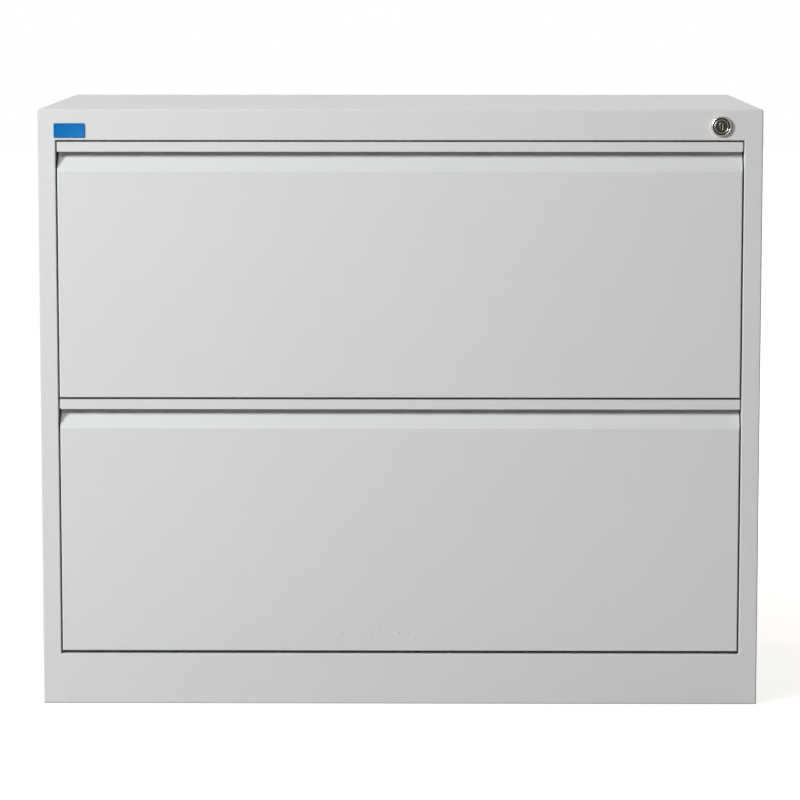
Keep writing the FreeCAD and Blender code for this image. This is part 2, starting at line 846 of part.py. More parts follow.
# Cam: a plate on the plug's journal with a pin that drives the lock bar
def make_lock_cam():
    body = new_body("lock_cam", x="lock_across", z="lock_level")
    pad(body, circles(body, "XZ", [("0", "0", "cam_hub")], "plug_rear"), "cam_thick")
    pad(body, circles(body, "XZ", [(cam_offset, cam_offset, "cam_tip")], "plug_rear"), "cam_thick")
    pin = circles(body, "XZ", [(cam_offset, cam_offset, "cam_pin")], "plug_rear")
    pad(body, pin, "cam_pin_rear - plug_rear")
    pocket(body, circles(body, "XZ", [("0", "0", "journal_radius")], "plug_rear"), "cam_thick")


# Lock bar: an angled strip with a slot for the cam's pin and a tab for each drawer
def make_lock_bar():
    body = new_body("lock_bar")
    arm = f"(lock_level + {cam_offset})"
    far = "bar_near + bar_wide"
    low_tab = f"({lower_front} + catch_level + catch_tall + tab_clear)"
    high_tab = f"({upper_front} + catch_level + catch_tall + tab_clear)"
    form = [
        (far, f"{arm} + bar_arm_half"),
        ("bar_arm_end", f"{arm} + bar_arm_half"),
        ("bar_arm_end", f"{arm} - bar_arm_half"),
        ("bar_near", f"{arm} - bar_arm_half"),
    ]
    for tab in (high_tab, low_tab):
        form.append(("bar_near", f"{tab} + tab_tall"))
        form.append(("tab_near", f"{tab} + tab_tall"))
        form.append(("tab_near", tab))
        form.append(("bar_near", tab))
    form.append(("bar_near", f"{low_tab} - bar_foot"))
    form.append((far, f"{low_tab} - bar_foot"))
    pad(body, outline(body, "XZ", [form], "bar_front"), "bar_thick")
    near = f"lock_across + {cam_offset} - bar_slot_play/2"
    end = f"{near} + bar_slot_travel + bar_slot_play"
    radius = "cam_pin + bar_slot_play"
    pocket(body, round_slot(body, "XZ", near, end, arm, radius, "bar_front"), "bar_thick")


# Guide block that the lock bar runs through
def make_bar_guide(name, level):
    body = new_body(f"lock_bar_guide_{name}", z=level)
    slot = rectangle(
        "bar_near - guide_play",
        "bar_near + bar_wide + guide_play",
        "bar_front - guide_play",
        "bar_front + bar_thick + guide_play",
    )
    block = rectangle(
        "bar_near - guide_play - guide_wall",
        side_inside,
        "bar_front - guide_play - guide_wall",
        "bar_front + bar_thick + guide_play + guide_wall",
    )
    pad(body, outline(body, "XY", [block, slot], "0"), "guide_tall")


def make_case():
    make_front_frame()
    make_top_panel()
    make_back_panel()
    make_base_pan()
    for name, hand in hands.items():
        make_side_panel(name, hand)
        make_foot_channel(name, hand)
        make_upright(f"front_{name}", hand, "front_upright")
        make_upright(f"rear_{name}", hand, "rear_upright")
        make_levelling_foot(f"front_{name}", hand, -1)
        make_levelling_foot(f"rear_{name}", hand, 1)
    make_cross_rail()
    make_bumpers()
    make_ballast()


def make_drawer(drawer, level):
    make_drawer_skin(drawer, level)
    make_drawer_liner(drawer, level)
    make_tray_floor(drawer, level)
    make_tray_back(drawer, level)
    make_file_bar(drawer, "front", "file_bar_front", 1, level)
    make_file_bar(drawer, "rear", "(file_bar_front + file_spacing)", -1, level)
    make_lock_catch(drawer, level)
    for name, hand in hands.items():
        make_tray_wall(drawer, name, hand, level)
        make_outer_slide(f"{drawer}_{name}", hand, level)
        make_middle_slide(f"{drawer}_{name}", hand, level)
        make_inner_slide(f"{drawer}_{name}", hand, level)


def make_lock():
    make_lock_housing()
    make_lock_nut()
    make_lock_plug()
    make_lock_cam()
    make_lock_bar()
    make_bar_guide("upper", "guide_high")
    make_bar_guide("lower", "guide_low")


make_case()
for drawer_name, drawer_level in drawers.items():
    make_drawer(drawer_name, drawer_level)
make_lock()
doc.recompute()

# Nothing is written unless every object computed and every sub-part is a sound solid
for item in doc.Objects:
    if "Invalid" in item.State or "Error" in item.State:
        raise RuntimeError(f"{item.Label} did not compute: {item.State}")
for body in sub_parts:
    if body.Shape.isNull() or not body.Shape.isValid() or not body.Shape.Solids:
        raise RuntimeError(f"{body.Label} has no sound shape")

os.makedirs("parts", exist_ok=True)
for body in sub_parts:
    body.Shape.exportStep(f"parts/{body.Label}.step")
    print(body.Label, len(body.Shape.Solids), "solid", round(body.Shape.Volume / 1000, 1), "cm3")
print(len(sub_parts), "sub-parts")
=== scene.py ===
import json
import math
import bmesh
import bpy
from mathutils import Matrix, Vector


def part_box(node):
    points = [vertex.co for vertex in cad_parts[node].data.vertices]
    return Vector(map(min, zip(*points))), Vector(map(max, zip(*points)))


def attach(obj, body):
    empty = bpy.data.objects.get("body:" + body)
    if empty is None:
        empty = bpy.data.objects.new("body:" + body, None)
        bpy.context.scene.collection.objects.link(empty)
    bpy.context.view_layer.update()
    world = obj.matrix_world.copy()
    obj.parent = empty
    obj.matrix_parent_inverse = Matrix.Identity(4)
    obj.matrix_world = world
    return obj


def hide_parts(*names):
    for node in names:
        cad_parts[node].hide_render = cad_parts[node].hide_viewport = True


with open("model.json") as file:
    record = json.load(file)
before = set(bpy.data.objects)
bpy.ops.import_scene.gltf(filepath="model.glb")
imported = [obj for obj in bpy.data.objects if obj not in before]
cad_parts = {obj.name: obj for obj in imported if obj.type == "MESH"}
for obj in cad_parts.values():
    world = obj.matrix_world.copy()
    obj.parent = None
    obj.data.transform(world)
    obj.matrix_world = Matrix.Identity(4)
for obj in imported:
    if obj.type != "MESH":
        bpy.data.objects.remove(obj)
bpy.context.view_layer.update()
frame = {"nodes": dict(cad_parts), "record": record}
scene = bpy.context.scene
scene.view_settings.view_transform = "Standard"
nodes = frame["nodes"]
print("frame loaded with", len(nodes), "parts")

# places that the parts themselves give
caseLow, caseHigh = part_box("front_frame")
frontPlane = caseLow[1]
lockLow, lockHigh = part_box("lock_housing")
lockCentre = Vector(((lockLow[0] + lockHigh[0]) / 2, lockLow[1], (lockLow[2] + lockHigh[2]) / 2))
hands = ("left", "right")


# camera that frames the cabinet as the photograph does
cameraPlan = {
    "place": (0.0308, -4.225, 0.9289),
    "lookDown": 6.577,  # degrees below level
    "turnLeft": 0.435,  # degrees
    "lens": 145.31,
    "sensor": 36,
    "shift": -0.08,
}


def setCamera(plan):
    data = bpy.data.cameras.new("camera")
    data.lens = plan["lens"]
    data.sensor_width = plan["sensor"]
    data.shift_y = plan["shift"]
    camera = bpy.data.objects.new("camera", data)
    camera.location = plan["place"]
    camera.rotation_euler = (math.radians(90 - plan["lookDown"]), 0, math.radians(plan["turnLeft"]))
    scene.collection.objects.link(camera)
    scene.camera = camera


setCamera(cameraPlan)
print("camera set")


# small builders shared by the materials
def addNode(tree, kind, **settings):
    node = tree.nodes.new(kind)
    for name, value in settings.items():
        setattr(node, name, value)
    return node


# a socket takes a link from another node, or a plain value
def feed(tree, value, socket):
    if isinstance(value, bpy.types.NodeSocket):
        tree.links.new(value, socket)
    else:
        socket.default_value = value


def feedAll(tree, node, values):
    for name, value in values.items():
        feed(tree, value, node.inputs[name])


# with more than two values, each is taken in turn with the result so far
def addMath(tree, operation, result, *others):
    for other in others or (None,):
        node = addNode(tree, "ShaderNodeMath", operation=operation)
        feed(tree, result, node.inputs[0])
        if other is not None:
            feed(tree, other, node.inputs[1])
        result = node.outputs[0]
    return result


# turns a mask from 0 to 1 into a swing to both sides of nothing
def addSwing(tree, mask, width):
    return addMath(tree, "MULTIPLY", addMath(tree, "SUBTRACT", mask, 0.5), width)


def addVector(tree, operation, first, second=None):
    node = addNode(tree, "ShaderNodeVectorMath", operation=operation)
    feed(tree, first, node.inputs[0])
    if second is not None:
        feed(tree, second, node.inputs["Scale" if operation == "SCALE" else 1])
    return node.outputs["Value" if operation == "LENGTH" else "Vector"]


def splitVector(tree, vector):
    node = addNode(tree, "ShaderNodeSeparateXYZ")
    tree.links.new(vector, node.inputs[0])
    return node.outputs


def joinVector(tree, **parts):
    node = addNode(tree, "ShaderNodeCombineXYZ")
    feedAll(tree, node, parts)
    return node.outputs[0]


def stretch(tree, vector, scale):
    node = addNode(tree, "ShaderNodeMapping")
    feedAll(tree, node, {"Vector": vector, "Scale": scale})
    return node.outputs["Vector"]


# offset from an axis that runs front to back, and how far out that is
def fromAxis(tree, place, axisPlace):
    offset = addVector(tree, "SUBTRACT", place, axisPlace)
    return offset, addVector(tree, "LENGTH", stretch(tree, offset, (1, 0, 1)))


def addRange(tree, value, low, high, newLow=0.0, newHigh=1.0):
    node = addNode(tree, "ShaderNodeMapRange", interpolation_type="SMOOTHSTEP")
    ends = {"From Min": low, "From Max": high, "To Min": newLow, "To Max": newHigh}
    feedAll(tree, node, {"Value": value, **ends})
    return node.outputs["Result"]


def addNoise(tree, vector, scale, detail, roughness):
    node = addNode(tree, "ShaderNodeTexNoise")
    grain = {"Scale": scale, "Detail": detail, "Roughness": roughness}
    feedAll(tree, node, {"Vector": vector, **grain})
    return node.outputs["Fac"]


def mixColour(tree, factor, first, second):
    node = addNode(tree, "ShaderNodeMix", data_type="RGBA")
    wanted = (("Factor", "VALUE", factor), ("A", "RGBA", first), ("B", "RGBA", second))
    for name, kind, value in wanted:
        feed(tree, value, next(s for s in node.inputs if s.name == name and s.type == kind))
    return next(s for s in node.outputs if s.type == "RGBA")


def newGroup(name, inputs, outputs):
    tree = bpy.data.node_groups.new(name, "ShaderNodeTree")
    for label, kind, value in inputs:
        socket = tree.interface.new_socket(label, in_out="INPUT", socket_type=kind)
        if value is not None:
            socket.default_value = value
    for label, kind in outputs:
        tree.interface.new_socket(label, in_out="OUTPUT", socket_type=kind)
    source = tree.nodes.new("NodeGroupInput")
    target = tree.nodes.new("NodeGroupOutput")
    return tree, source.outputs, target.inputs


floatKind = "NodeSocketFloat"
colourKind = "NodeSocketColor"
vectorKind = "NodeSocketVector"


# baked powder: orange peel, fine speckle and a slow drift of the film
powderGrain = {
    "peel": {"detail": 2.5, "roughness": 0.55},
    "grit": {"scale": 2600.0, "detail": 1.0, "roughness": 0.5},
    "film": {"scale": 3.1, "detail": 3.0, "roughness": 0.55},
    "filmGloss": 0.05,
    "peelGloss": 0.1,
    "gritHeight": 0.25,
}


def makePowderGroup(grain):
    tree, given, wanted = newGroup(
        "powderCoat",
        [
            ("Place", vectorKind, None),
            ("Coat Colour", colourKind, (0.6, 0.63, 0.6, 1)),
            ("Peel Scale", floatKind, 620.0),
            ("Speckle", floatKind, 0.03),
            ("Drift", floatKind, 0.03),
        ],
        [("Colour", colourKind), ("Gloss Change", floatKind), ("Height", floatKind)],
    )
    place = given["Place"]
    peel = addNoise(tree, place, given["Peel Scale"], **grain["peel"])
    grit = addNoise(tree, place, **grain["grit"])
    film = addNoise(tree, place, **grain["film"])
    speckle = addSwing(tree, grit, given["Speckle"])
    drift = addSwing(tree, film, given["Drift"])
    level = addMath(tree, "ADD", speckle, drift, 1.0)
    tree.links.new(addVector(tree, "SCALE", given["Coat Colour"], level), wanted["Colour"])
    slow = addSwing(tree, film, grain["filmGloss"])
    fine = addSwing(tree, peel, grain["peelGloss"])
    tree.links.new(addMath(tree, "ADD", slow, fine), wanted["Gloss Change"])
    lift = addMath(tree, "MULTIPLY", grit, grain["gritHeight"])
    tree.links.new(addMath(tree, "ADD", peel, lift), wanted["Height"])
    return tree


# dust that settles on what faces up, and a grey rim of it near the floor
dustFall = {
    "facingUp": (0.6, 1.0),  # from a slope that starts to hold dust to a level face
    "rimShare": 0.7,
    "cloud": {"scale": 14.0, "detail": 5.0, "roughness": 0.6},
    "cloudEdge": (0.35, 0.75),
}


def makeDustGroup(fall):
    tree, given, wanted = newGroup(
        "settledDust",
        [
            ("Place", vectorKind, None),
            ("Surface Normal", vectorKind, None),
            ("Amount", floatKind, 0.3),
            ("Rim Height", floatKind, 0.03),
        ],
        [("Dust", floatKind)],
    )
    facing = splitVector(tree, given["Surface Normal"])["Z"]
    height = splitVector(tree, given["Place"])["Z"]
    up = addRange(tree, facing, *fall["facingUp"])
    rim = addRange(tree, height, given["Rim Height"], 0.0)
    cloud = addRange(tree, addNoise(tree, given["Place"], **fall["cloud"]), *fall["cloudEdge"])
    both = addMath(tree, "MAXIMUM", up, addMath(tree, "MULTIPLY", rim, fall["rimShare"]))
    tree.links.new(addMath(tree, "MULTIPLY", both, cloud, given["Amount"]), wanted["Dust"])
    return tree


# scuffed patch: small pits and specks scattered inside a soft oval on a front
scuffSpecks = {
    "softEdge": (1.0, 0.7),  # shares of the patch's half size
    "perMetre": (85, 1, 110),
    "bareShare": 0.5,  # of the cells, those that get no speck
    "largest": 0.085,  # in cells
}


def makeScuffGroup(specks):
    tree, given, wanted = newGroup(
        "scuffPatch",
        [
            ("Place", vectorKind, None),
            ("Centre", vectorKind, (0, 0, 0)),
            ("Half Size", vectorKind, (0.05, 0.05, 0.05)),
            ("Amount", floatKind, 0.5),
        ],
        [("Scuff", floatKind)],
    )
    offset = addVector(tree, "SUBTRACT", given["Place"], given["Centre"])
    reach = addVector(tree, "LENGTH", addVector(tree, "DIVIDE", offset, given["Half Size"]))
    inside = addRange(tree, reach, *specks["softEdge"])
    cell = splitVector(tree, stretch(tree, given["Place"], specks["perMetre"]))
    speck = addNode(tree, "ShaderNodeTexVoronoi", voronoi_dimensions="2D")
    feedAll(tree, speck, {"Vector": joinVector(tree, X=cell["X"], Y=cell["Z"]), "Scale": 1.0})
    share = splitVector(tree, speck.outputs["Color"])["X"]
    size = addRange(tree, share, specks["bareShare"], 1.0, 0.0, specks["largest"])
    marks = addMath(tree, "LESS_THAN", speck.outputs["Distance"], size)
    tree.links.new(addMath(tree, "MULTIPLY", inside, marks, given["Amount"]), wanted["Scuff"])
    return tree


# rolled and plated steel: long streaks, a faint crystal pattern and small stains
steelGrain = {
    "rolling": (900, 14, 900),  # streaks run front to back
    "streak": {"scale": 1.0, "detail": 3.0, "roughness": 0.6},
    "crystalScale": 140.0,
    "stain": {"scale": 22.0, "detail": 5.0, "roughness": 0.65},
    "stainDepth": 0.1,
    "glossShare": 0.9,
}


def makeRolledGroup(grain):
    tree, given, wanted = newGroup(
        "rolledSteel",
        [
            ("Place", vectorKind, None),
            ("Steel Colour", colourKind, (0.6, 0.6, 0.6, 1)),
            ("Streak", floatKind, 0.12),
            ("Crystal", floatKind, 0.08),
        ],
        [("Colour", colourKind), ("Gloss Change", floatKind), ("Height", floatKind)],
    )
    place = given["Place"]
    streak = addNoise(tree, stretch(tree, place, grain["rolling"]), **grain["streak"])
    crystal = addNode(tree, "ShaderNodeTexVoronoi")
    feedAll(tree, crystal, {"Vector": place, "Scale": grain["crystalScale"]})
    flake = splitVector(tree, crystal.outputs["Color"])["X"]
    stain = addNoise(tree, place, **grain["stain"])
    change = addMath(
        tree,
        "ADD",
        addSwing(tree, streak, given["Streak"]),
        addSwing(tree, flake, given["Crystal"]),
        addSwing(tree, stain, grain["stainDepth"]),
    )
    level = addMath(tree, "ADD", change, 1.0)
    tree.links.new(addVector(tree, "SCALE", given["Steel Colour"], level), wanted["Colour"])
    tree.links.new(addMath(tree, "MULTIPLY", change, grain["glossShare"]), wanted["Gloss Change"])
    tree.links.new(streak, wanted["Height"])
    return tree


# turned metal: fine rings round an axis that runs front to back
turnedGrain = {"scale": 1.0, "detail": 2.0, "roughness": 0.6}


def makeTurnedGroup(grain):
    tree, given, wanted = newGroup(
        "turnedRings",
        [
            ("Place", vectorKind, None),
            ("Axis Place", vectorKind, (0, 0, 0)),
            ("Pitch", floatKind, 9000.0),
        ],
        [("Rings", floatKind)],
    )
    reach = fromAxis(tree, given["Place"], given["Axis Place"])[1]
    along = joinVector(tree, X=addMath(tree, "MULTIPLY", reach, given["Pitch"]))
    tree.links.new(addNoise(tree, along, **grain), wanted["Rings"])
    return tree


powderGroup = makePowderGroup(powderGrain)
dustGroup = makeDustGroup(dustFall)
scuffGroup = makeScuffGroup(scuffSpecks)
rolledGroup = makeRolledGroup(steelGrain)
turnedGroup = makeTurnedGroup(turnedGrain)
print("powder, dust, scuff and steel groups built")


def useGroup(tree, group, **values):
    node = addNode(tree, "ShaderNodeGroup", node_tree=group)
    for label, value in values.items():
        feed(tree, value, node.inputs[label.replace("_", " ")])
    return node.outputs


def startMaterial(name, roughness, metallic=0.0):
    material = bpy.data.materials.new(name)
    material.use_nodes = True
    tree = material.node_tree
    shader = tree.nodes["Principled BSDF"]
    shader.inputs["Metallic"].default_value = metallic
    shader.inputs["Roughness"].default_value = roughness
    place = addNode(tree, "ShaderNodeTexCoord").outputs["Object"]
    return material, tree, shader, place


def addBump(tree, shader, height, strength, distance):
    bump = addNode(tree, "ShaderNodeBump")
    feedAll(tree, bump, {"Height": height, "Strength": strength, "Distance": distance})
    tree.links.new(bump.outputs["Normal"], shader.inputs["Normal"])


def linkRoughness(tree, shader, change, base):
    total = addNode(tree, "ShaderNodeMath", operation="ADD", use_clamp=True)
    feed(tree, change, total.inputs[0])
    feed(tree, base, total.inputs[1])
    tree.links.new(total.outputs[0], shader.inputs["Roughness"])


# light grey powder coat of the case and the drawers
coatLook = {
    "colour": (0.608, 0.620, 0.625, 1),
    "dustColour": (0.50, 0.49, 0.46, 1),
    "roughness": 0.56,
    "specular": 0.42,
    "speckle": 0.035,
    "drift": 0.03,
    "peelDepth": 0.00012,
    "peelStrength": 0.5,
    "dustRim": 0.035,  # height above the floor
    "dustMatt": 0.5,
    "scuffPolish": 0.25,
}
caseWear = {"dust": 0.08, "scuffs": ()}
drawerWear = {
    "dust": 0.06,
    "scuffs": (
        {
            "centre": (-0.028, frontPlane, 0.092),
            "halfSize": (0.075, 0.02, 0.011),
            "amount": 0.75,
            "colour": (0.26, 0.25, 0.22, 1),
        },
    ),
}


def makeCoat(name, look, wear):
    material, tree, shader, place = startMaterial(name, look["roughness"])
    shader.inputs["Specular IOR Level"].default_value = look["specular"]
    normal = addNode(tree, "ShaderNodeNewGeometry").outputs["Normal"]
    coat = useGroup(
        tree,
        powderGroup,
        Place=place,
        Coat_Colour=look["colour"],
        Speckle=look["speckle"],
        Drift=look["drift"],
    )
    dust = useGroup(
        tree,
        dustGroup,
        Place=place,
        Surface_Normal=normal,
        Amount=wear["dust"],
        Rim_Height=look["dustRim"],
    )["Dust"]
    colour = mixColour(tree, dust, coat["Colour"], look["dustColour"])
    matt = addMath(tree, "MULTIPLY", dust, look["dustMatt"])
    change = addMath(tree, "ADD", coat["Gloss Change"], matt)
    for patch in wear["scuffs"]:
        scuff = useGroup(
            tree,
            scuffGroup,
            Place=place,
            Centre=patch["centre"],
            Half_Size=patch["halfSize"],
            Amount=patch["amount"],
        )["Scuff"]
        colour = mixColour(tree, scuff, colour, patch["colour"])
        polish = addMath(tree, "MULTIPLY", scuff, look["scuffPolish"])
        change = addMath(tree, "SUBTRACT", change, polish)
    tree.links.new(colour, shader.inputs["Base Color"])
    linkRoughness(tree, shader, change, look["roughness"])
    addBump(tree, shader, coat["Height"], look["peelStrength"], look["peelDepth"])
    return material


caseCoat = makeCoat("caseCoat", coatLook, caseWear)
drawerCoat = makeCoat("drawerCoat", coatLook, drawerWear)


# zinc plated steel: slides, lock parts, foot screws
zincBump = {"strength": 0.25, "distance": 0.00004}
zincLooks = {
    "slideZinc": {
        "colour": (0.66, 0.68, 0.70, 1),
        "roughness": 0.34,
        "streak": 0.09,
        "crystal": 0.02,
    },
    "brightZinc": {
        "colour": (0.60, 0.62, 0.66, 1),
        "roughness": 0.36,
        "streak": 0.08,
        "crystal": 0.05,
    },
}


def makeZinc(name, look):
    material, tree, shader, place = startMaterial(name, look["roughness"], 1.0)
    steel = useGroup(
        tree,
        rolledGroup,
        Place=place,
        Steel_Colour=look["colour"],
        Streak=look["streak"],
        Crystal=look["crystal"],
    )
    tree.links.new(steel["Colour"], shader.inputs["Base Color"])
    linkRoughness(tree, shader, steel["Gloss Change"], look["roughness"])
    addBump(tree, shader, steel["Height"], **zincBump)
    return material


slideZinc = makeZinc("slideZinc", zincLooks["slideZinc"])
brightZinc = makeZinc("brightZinc", zincLooks["brightZinc"])


# places on the lock's face: the groove, for painted shade, and the keyway's upright edges, for wear
# and a painted highlight
lockMarks = {
    "grooveIn": 0.0088,
    "grooveOut": 0.0106,
    "wearAndGlintSide": 0.0013,  # from the axis to each edge
    "wearAndGlintHalfHeight": 0.0030,
    "wearAndGlintMiddle": 0.0002,
    "wearAndGlintFade": (0.0006, 0.0001),  # off the edge
    "rubAndGlint": {"scale": 900.0, "detail": 3.0, "roughness": 0.6},
    "rubAndGlintEdge": (0.3, 0.55),
}


def makeLockZones(marks):
    tree, given, wanted = newGroup(
        "lockZones",
        [
            ("Place", vectorKind, None),
            ("Axis Place", vectorKind, (0, 0, 0)),
            ("Groove In", floatKind, marks["grooveIn"]),
            ("Groove Out", floatKind, marks["grooveOut"]),
            ("Wear And Glint Side", floatKind, marks["wearAndGlintSide"]),
            ("Wear And Glint Half Height", floatKind, marks["wearAndGlintHalfHeight"]),
        ],
        [("Painted Groove Shade", floatKind), ("Key Wear And Glint", floatKind)],
    )
    offset, reach = fromAxis(tree, given["Place"], given["Axis Place"])
    parts = splitVector(tree, offset)
    inner = addMath(tree, "GREATER_THAN", reach, given["Groove In"])
    outer = addMath(tree, "LESS_THAN", reach, given["Groove Out"])
    # the groove's mask, where painted shade goes
    tree.links.new(addMath(tree, "MULTIPLY", inner, outer), wanted["Painted Groove Shade"])
    # beside the keyway's edges: key wear and a painted highlight
    aside = addMath(tree, "SUBTRACT", addMath(tree, "ABSOLUTE", parts["X"]), given["Wear And Glint Side"])
    beside = addRange(tree, addMath(tree, "ABSOLUTE", aside), *marks["wearAndGlintFade"])
    level = addMath(tree, "ABSOLUTE", parts["Z"])
    along = addRange(tree, level, given["Wear And Glint Half Height"], marks["wearAndGlintMiddle"])
    rubbedAndGlint = addRange(tree, addNoise(tree, given["Place"], **marks["rubAndGlint"]), *marks["rubAndGlintEdge"])
    tree.links.new(addMath(tree, "MULTIPLY", beside, along, rubbedAndGlint), wanted["Key Wear And Glint"])
    return tree


lockZones = makeLockZones(lockMarks)


# polished nickel of the lock's ring with painted shade in its groove, and the darker plug,
# bright beside the keyway where keys have rubbed it and where a highlight is painted
lockGrain = {
    "wear": {"scale": 1400.0, "detail": 4.0, "roughness": 0.65},
    "wearEdge": (0.3, 0.75),
    "tint": (0.9, 1.05),
    "ringDepth": 0.00002,
}
nickelLook = {
    "colour": (0.76, 0.74, 0.68),
    "roughness": 0.27,
    "spread": 0.12,
    "ringStrength": 0.1,
    "zone": "Painted Groove Shade",
    # near black: painted shade in the groove
    "zoneColour": (0.035, 0.032, 0.028, 1),
    "zoneRoughness": 0.25,
}
plugLook = {
    "colour": (0.15, 0.132, 0.118),
    "roughness": 0.3,
    "spread": 0.16,
    "ringStrength": 0.4,
    "zone": "Key Wear And Glint",
    # bright: key wear and a painted highlight beside the keyway
    "zoneColour": (0.85, 0.83, 0.80, 1),
    "zoneRoughness": 0.1,
}


def makeLockMetal(name, look, grain):
    material, tree, shader, place = startMaterial(name, look["roughness"], 1.0)
    rings = useGroup(tree, turnedGroup, Place=place, Axis_Place=lockCentre)["Rings"]
    zone = useGroup(tree, lockZones, Place=place, Axis_Place=lockCentre)[look["zone"]]
    wear = addNoise(tree, place, **grain["wear"])
    tint = addRange(tree, wear, *grain["wearEdge"], *grain["tint"])
    bright = addVector(tree, "SCALE", look["colour"], tint)
    colour = mixColour(tree, zone, bright, look["zoneColour"])
    tree.links.new(colour, shader.inputs["Base Color"])
    matt = addMath(tree, "MULTIPLY", zone, look["zoneRoughness"])
    change = addMath(tree, "ADD", addSwing(tree, wear, look["spread"]), matt)
    linkRoughness(tree, shader, change, look["roughness"])
    addBump(tree, shader, rings, look["ringStrength"], grain["ringDepth"])
    return material


lockNickel = makeLockMetal("lockNickel", nickelLook, lockGrain)
plugMetal = makeLockMetal("plugMetal", plugLook, lockGrain)


# nylon, rubber, iron, brass, plain steel and the blue plate, each with its own grain
plainGrain = {
    "grain": {"detail": 3.0, "roughness": 0.6},
    "cloud": {"detail": 3.0, "roughness": 0.5},
    "cloudSize": 30,  # in grains
    "matt": 0.25,
    "bump": 0.4,
}
plainLooks = {
    "guideNylon": {
        "colour": (0.72, 0.71, 0.66),
        "spread": 0.06,
        "roughness": 0.42,
        "grainScale": 900.0,
        "depth": 0.00005,
    },
    "bumperRubber": {
        "colour": (0.025, 0.025, 0.027),
        "spread": 0.3,
        "roughness": 0.75,
        "grainScale": 1500.0,
        "depth": 0.0001,
    },
    "ballastIron": {
        "colour": (0.055, 0.057, 0.06),
        "spread": 0.25,
        "roughness": 0.62,
        "grainScale": 260.0,
        "depth": 0.0004,
    },
    "plateBlue": {
        "colour": (0.001, 0.140, 0.400),
        "spread": 0.04,
        "roughness": 0.4,
        "grainScale": 1800.0,
        "depth": 0.00001,
        "specular": 0.2,
    },
    "shadedWaferBrass": {
        # brass darkened beyond its own colour: painted shade deep in the keyway
        "colour": (0.30, 0.20, 0.08),
        "spread": 0.12,
        "roughness": 0.35,
        "grainScale": 1600.0,
        "depth": 0.00001,
        "metallic": 1.0,
    },
    "guideSteel": {
        "colour": (0.42, 0.40, 0.37),
        "spread": 0.1,
        "roughness": 0.3,
        "grainScale": 1600.0,
        "depth": 0.00001,
        "metallic": 1.0,
    },
}


def makePlain(name, look, plan):
    roughness = look["roughness"]
    material, tree, shader, place = startMaterial(name, roughness, look.get("metallic", 0.0))
    shader.inputs["Specular IOR Level"].default_value = look.get("specular", 0.5)
    grain = addNoise(tree, place, look["grainScale"], **plan["grain"])
    cloud = addNoise(tree, place, look["grainScale"] / plan["cloudSize"], **plan["cloud"])
    low = tuple(c * (1 - look["spread"]) for c in look["colour"]) + (1,)
    high = tuple(min(c * (1 + look["spread"]), 1) for c in look["colour"]) + (1,)
    tree.links.new(mixColour(tree, cloud, low, high), shader.inputs["Base Color"])
    linkRoughness(tree, shader, addSwing(tree, grain, plan["matt"]), roughness)
    addBump(tree, shader, grain, plan["bump"], look["depth"])
    return material


plainFinish = {name: makePlain(name, look, plainGrain) for name, look in plainLooks.items()}

slotLooks = {
    "case_coat": caseCoat,
    "drawer_coat": drawerCoat,
    "slide_zinc": slideZinc,
    "zinc_steel": brightZinc,
    "lock_nickel": lockNickel,
    "lock_plug_dark": plugMetal,
    "guide_plastic": plainFinish["guideNylon"],
    "black_rubber": plainFinish["bumperRubber"],
    "ballast_iron": plainFinish["ballastIron"],
}
for entry in frame["record"]["subparts"]:
    for slot in nodes[entry["node"]].material_slots:
        slot.material = slotLooks[entry["material_slot"]]
print("finishes on the parts")


# faces from each ring of points to the next, and from the last back to the first if closed
def bridgeRings(mesh, rings, closed=False):
    following = rings[1:] + rings[:1] if closed else rings[1:]
    for lower, upper in zip(rings, following):
        count = max(len(lower), len(upper))
        for spot in range(count):
            after = (spot + 1) % count
            if len(lower) == 1:
                mesh.faces.new((lower[0], upper[after], upper[spot]))
            elif len(upper) == 1:
                mesh.faces.new((lower[spot], lower[after], upper[0]))
            else:
                mesh.faces.new((lower[spot], lower[after], upper[after], upper[spot]))


# turns a profile of (along, radius) points round an axis, a single point where the radius is 0
def addTurned(mesh, profile, place, along, steps, closed=False):
    along = Vector(along).normalized()
    across = along.orthogonal().normalized()
    third = along.cross(across)
    rings = []
    for reach, radius in profile:
        middle = Vector(place) + along * reach
        if radius == 0:
            rings.append([mesh.verts.new(middle)])
            continue
        ring = []
        for step in range(steps):
            angle = 2 * math.pi * step / steps
            outward = across * math.cos(angle) + third * math.sin(angle)
            ring.append(mesh.verts.new(middle + outward * radius))
        rings.append(ring)
    bridgeRings(mesh, rings, closed)


def roundedRectangle(width, height, corner, steps):
    spots = []
    for turn, (sx, sz) in enumerate(((1, 1), (-1, 1), (-1, -1), (1, -1))):
        for step in range(steps + 1):
            angle = math.pi / 2 * (turn + step / steps)
            x = sx * (width / 2 - corner) + corner * math.cos(angle)
            z = sz * (height / 2 - corner) + corner * math.sin(angle)
            spots.append((x, z))
    return spots


def boxMiddle(node):
    low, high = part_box(node)
    return (low + high) / 2


# outer side of a part on that hand of the cabinet, and which way along X is inward
def outerSide(node, hand):
    low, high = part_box(node)
    return (low[0], 1) if hand == "left" else (high[0], -1)


def finishMesh(name, mesh, material, body, smoothAngle=40):
    data = bpy.data.meshes.new(name)
    mesh.to_mesh(data)
    mesh.free()
    piece = bpy.data.objects.new(name, data)
    scene.collection.objects.link(piece)
    data.materials.append(material)
    for face in data.polygons:
        face.use_smooth = True
    data.set_sharp_from_angle(angle=math.radians(smoothAngle))
    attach(piece, body)
    return piece


# plain blue plate at the top left: thin, with round corners and a face just below its rim
plateSize = {
    "centre": (-0.4095, 0.7237),
    "width": 0.0387,
    "height": 0.018,
    "corner": 0.0014,
    "cornerSteps": 5,
    "rows": (  # in from the outline, and out from the steel
        (0.0, 0.0),
        (0.0, 0.0008),
        (0.00009, 0.00101),
        (0.0003, 0.0011),
        (0.00102, 0.0011),
        (0.00126, 0.00098),
    ),
}


